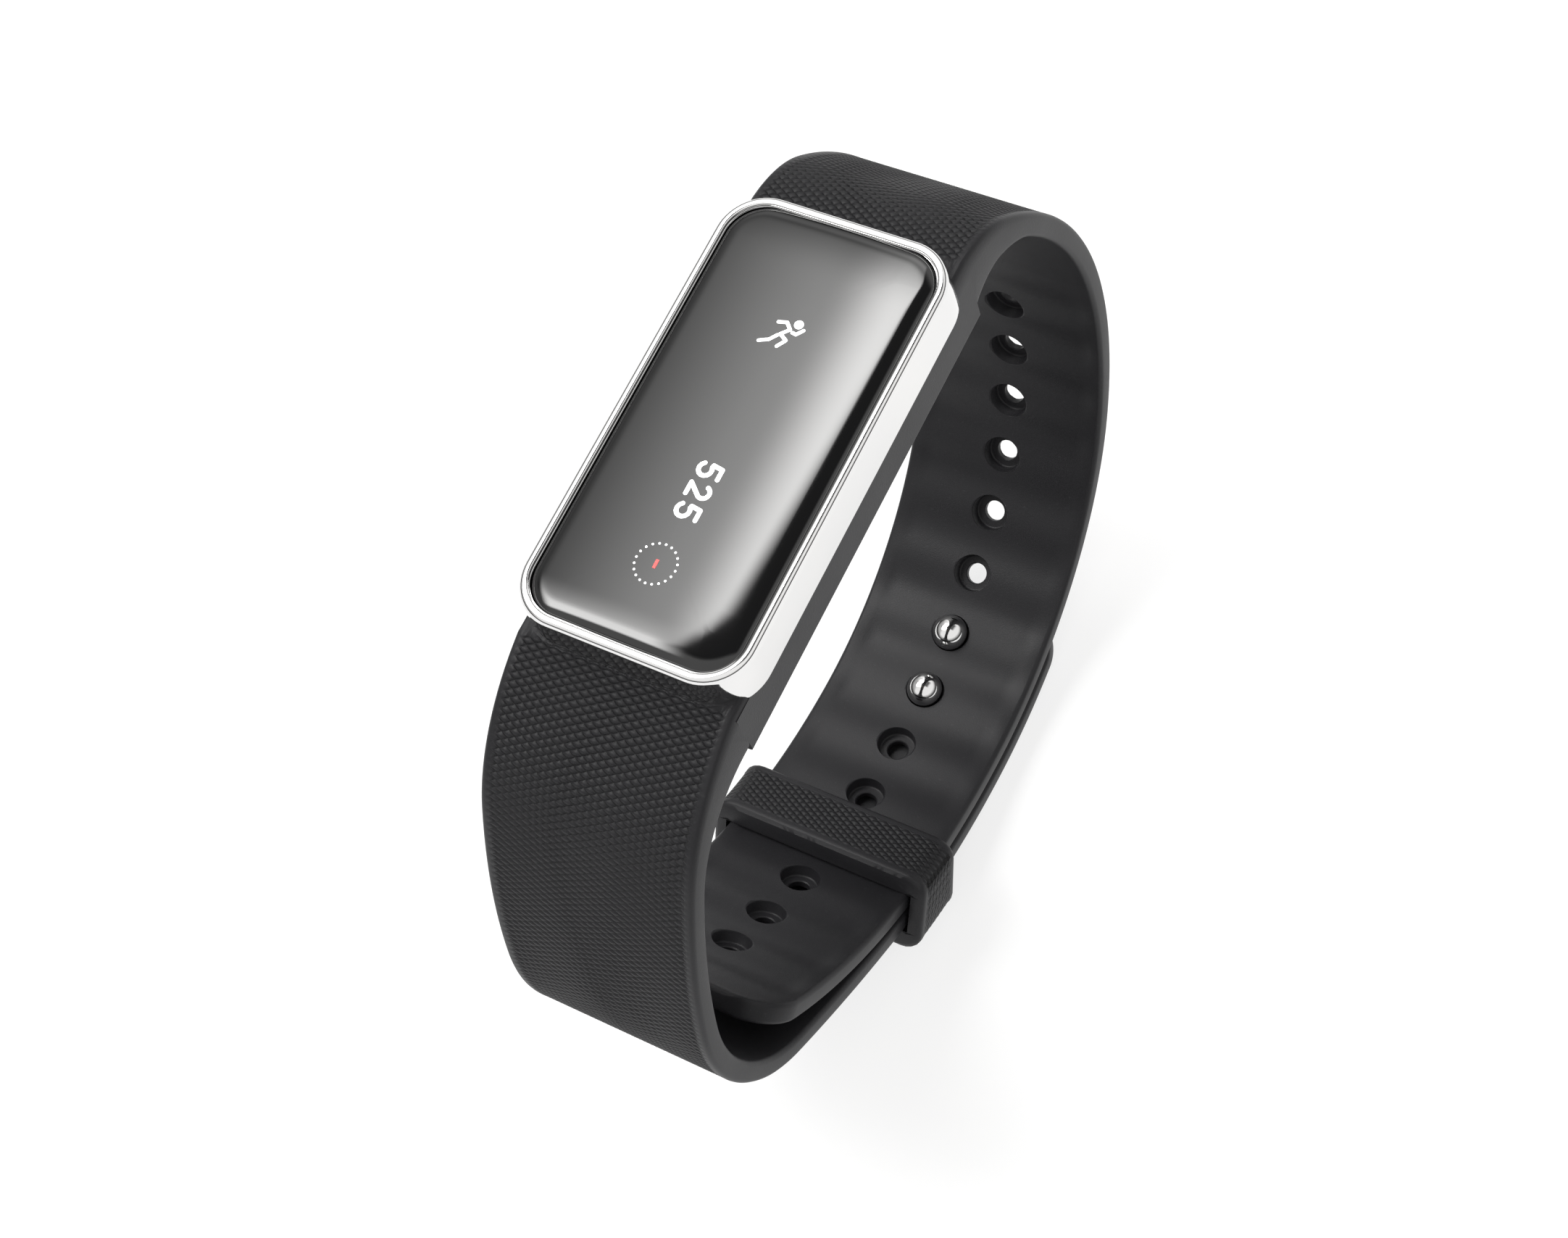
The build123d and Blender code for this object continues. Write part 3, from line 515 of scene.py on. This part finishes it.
def lathe(bm, profile, steps):
    """A closed solid from (radius, height) points whose first and last lie on the axis."""
    verts = [bm.verts.new((radius, 0, height)) for radius, height in profile]
    edges = [bm.edges.new(pair) for pair in zip(verts, verts[1:])]
    made = bmesh.ops.spin(bm, geom=verts + edges, cent=(0, 0, 0), axis=(0, 0, 1), angle=2 * math.pi,
                          steps=steps, use_merge=True, use_duplicate=False)
    return made


def hole_profile():
    """From beyond the skin side to beyond the outside, with a soft lip and a soft floor corner."""
    skin = -THICKNESS
    floor = skin + RECESS_DEPTH
    lip = RECESS_RADIUS + LIP
    points = [(0, skin - 2.0), (lip, skin - 2.0), (lip, skin - 0.01)]
    for i in range(1, 5):
        angle = math.radians(90 * i / 4)
        points.append((lip - LIP * math.sin(angle), skin + LIP - LIP * math.cos(angle)))
    for i in range(1, 5):
        angle = math.radians(90 * i / 4)
        points.append((RECESS_RADIUS - 0.2 + 0.2 * math.cos(angle), floor - 0.2 + 0.2 * math.sin(angle)))
    points += [(HOLE_RADIUS + 0.08, floor), (HOLE_RADIUS, floor + 0.08), (HOLE_RADIUS, 1.0), (0, 1.0)]
    return points


def make_hole_cutters(bm):
    for place in HOLE_PLACES:
        before = set(bm.verts)
        lathe(bm, hole_profile(), 40)
        new = [v for v in bm.verts if v not in before]
        y, z = BACK.at(place)
        y1, z1 = BACK.at(place, 1.0)
        out = Vector((0, y1 - y, z1 - z)).normalized()
        turn = Matrix((Vector((1, 0, 0)), out.cross(Vector((1, 0, 0))), out)).transposed().to_4x4()
        bmesh.ops.transform(bm, matrix=Matrix.Translation((0, y, z)) @ turn, verts=new)
    bmesh.ops.remove_doubles(bm, verts=bm.verts, dist=1e-4)
    bmesh.ops.recalc_face_normals(bm, faces=bm.faces)


def make_cradle_cutter(bm):
    """What the cradle fills below the frame's base: the strap starts square at its end."""
    made = bmesh.ops.create_cube(bm, size=1.0)["verts"]
    bmesh.ops.scale(bm, vec=(24.0, 2 * ROOT_Y, 10.0), verts=made)
    bmesh.ops.translate(bm, vec=(0, 0, WRIST_Z - 5.0), verts=made)


def make_root_cutter(bm):
    gap = 0.05
    corners = [bm.verts.new((sx * (BEZEL_HALF[0] + BEZEL_FLARE + gap), sy * (BEZEL_HALF[1] + BEZEL_FLARE + gap), -8))
               for sx, sy in ((-1, -1), (1, -1), (1, 1), (-1, 1))]
    bm.faces.new(corners)
    bmesh.ops.bevel(bm, geom=corners, offset=BEZEL_CORNER, offset_type="OFFSET", segments=12,
                    profile=0.5, affect="VERTICES", material=-1)
    made = bmesh.ops.extrude_face_region(bm, geom=list(bm.faces))["geom"]
    bmesh.ops.translate(bm, verts=[v for v in made if isinstance(v, bmesh.types.BMVert)], vec=(0, 0, 14))
    bmesh.ops.translate(bm, verts=bm.verts, vec=(0, 0, WRIST_Z))
    bmesh.ops.recalc_face_normals(bm, faces=bm.faces)


def cut(piece, makers):
    """Takes shapes away from a piece, applies the result and removes the cutters."""
    for maker, solver in makers:
        cutter = new_object("cutter", maker)
        modifier = piece.modifiers.new("cut", "BOOLEAN")
        modifier.object, modifier.operation, modifier.solver = cutter, "DIFFERENCE", solver
        depsgraph = bpy.context.evaluated_depsgraph_get()
        mesh = bpy.data.meshes.new_from_object(piece.evaluated_get(depsgraph), depsgraph=depsgraph)
        piece.modifiers.clear()
        old, piece.data = piece.data, mesh
        bpy.data.meshes.remove(old)
        bpy.data.objects.remove(cutter)
    bm = bmesh.new()
    bm.from_mesh(piece.data)
    bmesh.ops.remove_doubles(bm, verts=bm.verts, dist=0.002 * MM)
    bmesh.ops.dissolve_degenerate(bm, dist=0.001 * MM, edges=bm.edges)
    bmesh.ops.delete(bm, geom=[v for v in bm.verts if not v.link_faces], context="VERTS")
    bm.to_mesh(piece.data)
    bm.free()


def smooth(piece, angle=35):
    """Smooth shading that stops at real corners."""
    piece.data.shade_smooth()
    piece.data.set_sharp_from_angle(angle=math.radians(angle))


print("cutters ready:", len(HOLE_PLACES), "holes")

# %% Back strap, with the holes
back = new_object("band_back", lambda bm: make_strap(bm, BACK, 12.5, HOLE_PLACES[0]))
cut(back, [(make_hole_cutters, "EXACT"), (make_cradle_cutter, "FAST"), (make_root_cutter, "FAST")])
back.data.materials.clear()
back.data.materials.append(RUBBER)
smooth(back)
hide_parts("hole_strap", "hole_strap_tail", "gripped_hole_rims")
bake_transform(back)
print("back strap:", len(back.data.polygons), "faces")

# %% Front strap
front = new_object("band_front", lambda bm: make_strap(bm, FRONT, 15.0))
cut(front, [(make_cradle_cutter, "FAST"), (make_root_cutter, "FAST")])
front.data.materials.clear()
front.data.materials.append(RUBBER)
smooth(front)
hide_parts("stud_strap", "stud_strap_end")
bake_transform(front)
print("front strap:", len(front.data.polygons), "faces")

# %% [markdown]
# ## Keeper
# The keeper is a closed loop that holds the tail down. It is the same rubber with the same
# pattern, and its two lips are smooth and round. A thick-walled tube could come from Solidify;
# here a flat ring face is spun round the straps' own centre, so that the loop slides on them.

# %% Keeper
KEEPER_START, KEEPER_LENGTH = 94.45, 6.1
KEEPER_GAP, KEEPER_WALL, KEEPER_SIDE, KEEPER_CORNER = 0.3, 1.7, 1.2, 1.75
OVERLAP = 2.25                    # from the back strap's outside to the front strap's outside


def keeper_rectangle(bm, half_x, half_height, corner):
    """A rounded rectangle across the band, standing at the keeper's start."""
    y, z = BACK.at(KEEPER_START, (OVERLAP - THICKNESS) / 2)
    y1, z1 = BACK.at(KEEPER_START, (OVERLAP - THICKNESS) / 2 + 1)
    out = Vector((0, y1 - y, z1 - z))
    corners = [bm.verts.new(Vector((sx * half_x, y, z)) + out * sz * half_height)
               for sx, sz in ((-1, -1), (1, -1), (1, 1), (-1, 1))]
    before = set(bm.edges)
    face = bm.faces.new(corners)
    bmesh.ops.bevel(bm, geom=corners, offset=corner, offset_type="OFFSET", segments=5, profile=0.5,
                    affect="VERTICES", material=-1)
    loop = [e for e in bm.edges if e not in before]
    bmesh.ops.delete(bm, geom=[f for f in bm.faces if len(f.edges) == len(loop)], context="FACES_ONLY")
    return loop


def make_keeper(bm):
    passage = (OVERLAP + THICKNESS) / 2 + KEEPER_GAP
    half = HALF_WIDTH + KEEPER_GAP
    outer = keeper_rectangle(bm, half + KEEPER_SIDE, passage + KEEPER_WALL, KEEPER_CORNER)
    long_edges = [e for e in outer if e.calc_length() > 5]
    for edge in long_edges:
        bmesh.ops.subdivide_edges(bm, edges=[edge], cuts=round(edge.calc_length() / (PATTERN_ACROSS / 4)) - 1)
    outer = set(bm.edges)
    inner = keeper_rectangle(bm, half, passage, EDGE)
    centre, radius = BACK.arcs[3][0], BACK.arcs[3][1]
    angle = -KEEPER_LENGTH / radius
    steps = round(KEEPER_LENGTH / (PATTERN_ALONG / 4))
    verts = {v for e in inner + list(outer) for v in e.verts}
    bmesh.ops.spin(bm, geom=list(verts) + list(outer) + inner, cent=(0, *centre), axis=(1, 0, 0),
                   angle=angle, steps=steps, use_merge=False, use_duplicate=False)
    rims = [e for e in bm.edges if e.is_boundary]
    ends = ([], [])
    for edge in rims:
        along = BACK.find(edge.verts[0].co.y, edge.verts[0].co.z)[0]
        ends[along > KEEPER_START + KEEPER_LENGTH / 2].append(edge)
    for end in ends:
        bmesh.ops.triangle_fill(bm, edges=end, use_beauty=False, use_dissolve=False)
    weave = bm.verts.layers.float.new("weave")
    limits = (half + KEEPER_SIDE, passage + KEEPER_WALL)
    middle = (OVERLAP - THICKNESS) / 2
    girth = {}
    bmesh.ops.recalc_face_normals(bm, faces=bm.faces)
    bm.normal_update()
    for vert in bm.verts:
        along, off = BACK.find(vert.co.y, vert.co.z)
        up = off - middle
        outside = abs(vert.co.x) > limits[0] - 0.01 or abs(up) > limits[1] - 0.01 or (
            abs(vert.co.x) > limits[0] - KEEPER_CORNER and abs(up) > limits[1] - KEEPER_CORNER)
        on_top = abs(up) > limits[1] - KEEPER_CORNER / 2
        around = vert.co.x if on_top else up + 40 * math.copysign(1, vert.co.x)
        girth[vert] = (around, along)
        travel = along - KEEPER_START
        lip = min(travel, KEEPER_LENGTH - travel)
        share = 0.0
        if outside:
            share = fade(lip, 0.75, 1.1)
            sink = PATTERN_DEPTH * share * (1 - lens_height(around, along))
            if lip < 0.5:
                sink += 0.5 - math.sqrt(max(0.0, 0.25 - (0.5 - lip) ** 2))
            vert.co -= vert.normal * sink if lip > 0.01 else Vector()
            if lip <= 0.01:
                scale = (limits[0] - 0.45) / limits[0]
                vert.co.x *= scale
                y, z = BACK.at(along, middle + up * (limits[1] - 0.45) / limits[1])
                vert.co.y, vert.co.z = y, z
        vert[weave] = share
    uv = bm.loops.layers.uv.new("UVMap")
    for face in bm.faces:
        for loop in face.loops:
            around, along = girth[loop.vert]
            loop[uv].uv = (0.5 + around / UV_SPAN, along / UV_SPAN)


keeper = new_object("keeper_loop", make_keeper)
keeper.data.materials.append(RUBBER)
smooth(keeper, 50)
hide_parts("strap_keeper")
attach(keeper, "keeper")
print("keeper:", len(keeper.data.polygons), "faces")

# %% [markdown]
# ## Metal and window finishes
# Polished metal has almost no colour of its own: it shows the studio. What makes it real is
# what isn't perfect, so fine wiping marks change its roughness a little. The window is black
# glass over the display.

# %% Simple finishes from one recipe
def finish(name, first, second, roughness, metallic=0.0, scale=900.0, depth=0.0, wander=0.08,
           coat=0.0, specular=0.5, emission=None):
    """A surface whose colour drifts between two tones, with a grain of its own."""
    material = bpy.data.materials.new(name)
    paint = Paint(material)
    place = paint.node("ShaderNodeTexCoord", {}, {}, "Object")
    drift = paint.noise(place, scale / 4, 3.0)
    grain = paint.noise(place, scale, 4.0, 0.6)
    inputs = {"Base Color": paint.mix(drift, (*first, 1), (*second, 1)),
              "Roughness": roughness + wander * (grain - 0.5), "Metallic": metallic,
              "Coat Weight": coat, "Coat Roughness": 0.03, "Specular IOR Level": specular}
    if depth:
        inputs["Normal"] = paint.bump(grain, depth)
    if emission:
        inputs["Emission Color"] = paint.mix(drift, (*first, 1), (*second, 1))
        inputs["Emission Strength"] = emission
    shader = paint.node("ShaderNodeBsdfPrincipled", {}, inputs)
    paint.node("ShaderNodeOutputMaterial", {}, {0: shader})
    return material


CHROME = finish("bezel_chrome", (0.71, 0.71, 0.715), (0.77, 0.765, 0.755), 0.06, 1.0, 400.0, 0.0, 0.04)
STEEL = finish("stud_steel", (0.66, 0.66, 0.66), (0.76, 0.755, 0.75), 0.09, 1.0, 900.0, 0.000002, 0.05)
GLASS = finish("window_glass", (0.0016, 0.0016, 0.0018), (0.0022, 0.0022, 0.0025), 0.055, 0.0, 300.0, 0.0, 0.02,
               coat=0.3)
print("metal and glass ready")

# %% [markdown]
# ## Frame round the window
# The frame is a closed section carried round a rounded rectangle. Each line of the section is
# one rounded loop at its own height and inset, and `bridge_loops` puts the skin between them.
# The wall flares a little towards its base and rolls over into the bright crest.

# %% Frame
def frame_loops(bm, section_points, corner, segments, cuts):
    """One rounded loop for each (inset, height) point. Returns the loops in order."""
    loops = []
    for inset, height in section_points:
        half_x, half_y = BEZEL_HALF[0] - inset, BEZEL_HALF[1] - inset
        radius = max(0.25, corner - inset)
        fresh = bmesh.new()
        corners = [fresh.verts.new((sx * half_x, sy * half_y, WRIST_Z + height))
                   for sx, sy in ((-1, -1), (1, -1), (1, 1), (-1, 1))]
        fresh.faces.new(corners)
        bmesh.ops.bevel(fresh, geom=corners, offset=radius, offset_type="OFFSET", segments=segments,
                        profile=0.5, affect="VERTICES", material=-1)
        if cuts:
            straight = sorted(fresh.edges, key=lambda e: -e.calc_length())[:4]
            for edge, number in zip(straight, (cuts, cuts, cuts // 2, cuts // 2)):
                bmesh.ops.subdivide_edges(fresh, edges=[edge], cuts=number)
        bmesh.ops.delete(fresh, geom=list(fresh.faces), context="FACES_ONLY")
        ring = {}
        for vert in fresh.verts:
            ring[vert] = bm.verts.new(vert.co)
        loops.append([bm.edges.new([ring[v] for v in e.verts]) for e in fresh.edges])
        fresh.free()
    return loops


def skin(bm, loops, closed=False):
    pairs = list(zip(loops, loops[1:])) + ([(loops[-1], loops[0])] if closed else [])
    for first, second in pairs:
        bmesh.ops.bridge_loops(bm, edges=first + second)


def quarter(inset, height, across, up, first, last, steps=5):
    """Points of a rounding about a centre at that inset and height. 0 degrees is outwards."""
    points = []
    for i in range(steps + 1):
        angle = math.radians(first + (last - first) * i / steps)
        points.append((inset - across * math.cos(angle), height + up * math.sin(angle)))
    return points


def make_frame(bm):
    wall = [(-BEZEL_FLARE, 0.02), (-BEZEL_FLARE, 0.12), (-0.17, 1.0), (-0.10, 2.0), (-0.02, 2.8)]
    crest = quarter(0.42, 3.07, 0.42, 0.56, 0, 90, 9) + quarter(0.55, 3.46, 0.15, 0.15, 90, 180, 5)
    inside = [(0.70, 3.30), (0.70, 2.42), (1.65, 2.40), (1.65, 1.90), (1.05, 1.88), (1.05, 0.02)]
    loops = frame_loops(bm, wall + crest + inside, BEZEL_CORNER, 16, 24)
    skin(bm, loops, closed=True)
    bmesh.ops.recalc_face_normals(bm, faces=bm.faces)


bezel = new_object("window_frame", make_frame)
bezel.data.materials.append(CHROME)
smooth(bezel, 50)
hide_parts("bezel")
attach(bezel, "module")
print("frame:", len(bezel.data.polygons), "faces")

# %% [markdown]
# ## Window
# The glass is bent across its width and rolls down at its rim. Rings of the same rounded loops
# are laid from the rim inwards, and each point's height comes from the bend and the roll.

# %% Window
GLASS_INSET, GLASS_TOP, GLASS_BOTTOM = 0.76, 4.0, 2.55
BEND_RADIUS = 65.9
ROLL_WIDTH, ROLL_DROP = 1.25, 0.46
END_WIDTH, END_DROP = 4.2, 0.20    # the longer, softer fall towards both ends


def glass_height(x, y, inset):
    roll = max(0.0, 1 - inset / ROLL_WIDTH)
    fall = max(0.0, 1 - (BEZEL_HALF[1] - GLASS_INSET - abs(y)) / END_WIDTH)
    bend = x * x / (2 * BEND_RADIUS) + END_DROP * fall * fall
    return GLASS_TOP - bend - ROLL_DROP * (1 - math.sqrt(max(0.0, 1 - roll ** 3.0)))


def make_glass(bm):
    insets = [0.0, 0.02, 0.06, 0.12, 0.2, 0.3, 0.42, 0.56, 0.72, 0.9, 1.1, 1.3, 1.5, 1.8, 2.2, 2.7, 3.4, 4.2,
              5.0, 5.8, 6.6, 7.3, 7.8]
    rim = [(GLASS_INSET, GLASS_BOTTOM), (GLASS_INSET, 2.75)]
    tops = [(GLASS_INSET + inset, 3.0 + inset) for inset in insets]
    loops = frame_loops(bm, rim + tops, BEZEL_CORNER, 16, 32)
    for edges, inset in zip(loops[2:], insets):
        for vert in {v for e in edges for v in e.verts}:
            vert.co.z = WRIST_Z + glass_height(vert.co.x, vert.co.y, inset)
    skin(bm, loops)
    bmesh.ops.holes_fill(bm, edges=[e for e in bm.edges if e.is_boundary], sides=0)
    bmesh.ops.recalc_face_normals(bm, faces=bm.faces)


glass = new_object("window_glass", make_glass)
glass.data.materials.append(GLASS)
smooth(glass, 60)
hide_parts("cover_glass")
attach(glass, "module")
print("glass:", len(glass.data.polygons), "faces")

# %% [markdown]
# ## Trim line
# A hair-thin bright line follows the rim of the glass, where its plated edge shows inside the
# black gap. It is a tiny ring of its own.

# %% Trim line
def make_trim(bm):
    ring = [(0.735, 3.33), (0.735, 3.40), (0.80, 3.42), (0.82, 3.33)]
    skin(bm, frame_loops(bm, ring, BEZEL_CORNER, 16, 24), closed=True)
    bmesh.ops.recalc_face_normals(bm, faces=bm.faces)


trim = new_object("glass_trim", make_trim)
trim.data.materials.append(CHROME)
smooth(trim, 50)
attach(trim, "module")
print("trim:", len(trim.data.polygons), "faces")

# %% [markdown]
# ## Ball studs
# Each stud is turned on a lathe: a stem that passes through the strap's hole, a short neck and a
# polished ball. The same `lathe` helper that cuts the holes makes them.

# %% Ball studs
BALL_RADIUS, STEM_RADIUS = 1.55, 0.75
BALL_DEPTH = 1.87                 # from the back strap's outside in to the ball's centre


def stud_profile():
    points = [(0, -BALL_DEPTH - BALL_RADIUS)]
    for i in range(1, 24):
        angle = math.radians(-90 + 150 * i / 24)
        points.append((BALL_RADIUS * math.cos(angle), -BALL_DEPTH + BALL_RADIUS * math.sin(angle)))
    return points + [(STEM_RADIUS, -BALL_DEPTH + 1.42), (STEM_RADIUS, 1.5), (0, 1.5)]


def make_studs(bm):
    for place in HOLE_PLACES[6:8]:
        before = set(bm.verts)
        lathe(bm, stud_profile(), 48)
        new = [v for v in bm.verts if v not in before]
        y, z = BACK.at(place)
        y1, z1 = BACK.at(place, 1.0)
        out = Vector((0, y1 - y, z1 - z)).normalized()
        turn = Matrix((Vector((1, 0, 0)), out.cross(Vector((1, 0, 0))), out)).transposed().to_4x4()
        bmesh.ops.transform(bm, matrix=Matrix.Translation((0, y, z)) @ turn, verts=new)
    bmesh.ops.remove_doubles(bm, verts=bm.verts, dist=1e-4)
    bmesh.ops.recalc_face_normals(bm, faces=bm.faces)


studs = new_object("ball_studs", make_studs)
studs.data.materials.append(STEEL)
smooth(studs, 50)
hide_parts("clasp_studs")
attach(studs, "peel_end")
print("studs:", len(studs.data.polygons), "faces")

# %% [markdown]
# ## Finishes for the parts that keep their engineering shape
# The back cover, the lit signs of the display and everything inside stay as they came. Each gets
# a finish from the recipe above, in a table, so that none is left as plain grey.

# %% Finishes by node
LIT = finish("lit_white", (0.92, 0.93, 0.95), (1.0, 1.0, 1.0), 0.35, emission=0.85)
RED = finish("lit_red", (0.80, 0.055, 0.05), (0.86, 0.075, 0.07), 0.35, emission=0.55)
PLASTIC = finish("black_plastic", (0.010, 0.010, 0.011), (0.016, 0.016, 0.017), 0.55, scale=5000.0, depth=0.00001)
SCREW = finish("screw_steel", (0.32, 0.32, 0.33), (0.42, 0.42, 0.42), 0.30, 1.0, 3000.0, 0.000003)
SHEET = finish("plate_steel", (0.50, 0.50, 0.51), (0.60, 0.60, 0.60), 0.34, 1.0, 1500.0, 0.000002)
GOLD = finish("contact_gold", (0.78, 0.52, 0.20), (0.90, 0.64, 0.28), 0.22, 1.0, 1800.0, 0.000001)
BOARD = finish("board_mask", (0.008, 0.075, 0.035), (0.012, 0.11, 0.05), 0.38, scale=2500.0, depth=0.000004)
CHIP = finish("chip_epoxy", (0.016, 0.016, 0.017), (0.028, 0.028, 0.03), 0.62, scale=6000.0, depth=0.000006)
FOIL = finish("cell_foil", (0.58, 0.58, 0.59), (0.70, 0.70, 0.70), 0.36, 0.9, 700.0, 0.00002)
WIRE = finish("lead_red", (0.30, 0.015, 0.012), (0.38, 0.022, 0.018), 0.48, scale=3000.0, depth=0.000004)
TUNGSTEN = finish("weight_tungsten", (0.16, 0.16, 0.165), (0.22, 0.22, 0.22), 0.48, 1.0, 3500.0, 0.000005)
SEAL = finish("seal_silicone", (0.03, 0.03, 0.033), (0.045, 0.045, 0.048), 0.6, scale=3500.0, depth=0.000006)
FILM = finish("touch_film", (0.06, 0.065, 0.07), (0.085, 0.09, 0.095), 0.18, scale=900.0, coat=0.4)
PANEL = finish("display_panel", (0.004, 0.004, 0.005), (0.007, 0.007, 0.009), 0.16, scale=900.0, coat=0.4)
FLEX = finish("flex_amber", (0.26, 0.10, 0.015), (0.34, 0.14, 0.02), 0.40, scale=1500.0, depth=0.000003)
NODE_FINISHES = {
    "band_cradle": RUBBER, "rear_cover": PLASTIC, "mid_frame": PLASTIC, "runner_icon": LIT, "step_digits": LIT,
    "dial_dots": LIT, "dial_hand": RED, "clasp_plate": SHEET, "glass_adhesive": SEAL, "touch_sensor": FILM,
    "display_panel": PANEL, "display_flex": FLEX, "circuit_board": BOARD, "board_chips": CHIP,
    "board_screws": SCREW, "battery": FOIL, "battery_leads": WIRE, "motor_can": SHEET, "motor_cap": SHEET,
    "motor_shaft": SCREW, "motor_weight": TUNGSTEN, "antenna": GOLD, "rear_gasket": SEAL,
    "cover_screws": SCREW, "charging_contacts": GOLD}
for name, material in NODE_FINISHES.items():
    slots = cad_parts[name].data.materials
    slots.clear()
    slots.append(material)
print("finishes on", len(NODE_FINISHES), "nodes")
